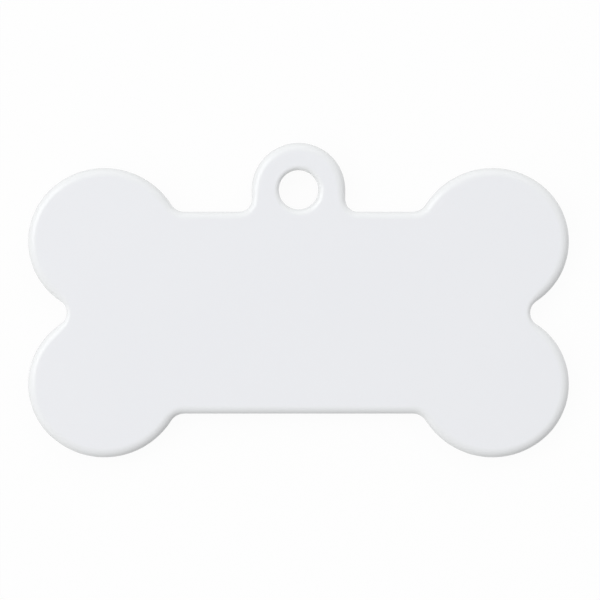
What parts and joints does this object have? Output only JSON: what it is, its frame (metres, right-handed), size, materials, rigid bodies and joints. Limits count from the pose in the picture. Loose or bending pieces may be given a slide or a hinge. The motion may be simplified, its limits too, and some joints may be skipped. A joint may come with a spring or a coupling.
{
  "type": "pet id tag",
  "caption": "Flat bone-shaped pet ID tag, blank and white on both sides, with rounded edges and a loop whose round hole takes a split ring.",
  "frame": {"origin": "middle of the bone, on the back face that the tag lies on", "axes": "+X along the bone, +Y towards the loop, +Z out of the front face"},
  "size_m": [0.05, 0.0291, 0.002],
  "materials": {
    "core_aluminium": "satin",
    "white_coat": "gloss"
  },
  "bodies": {
    "root": {"metal_core": "core_aluminium", "front_coat": "white_coat", "back_coat": "white_coat"}
  },
  "joints": []
}
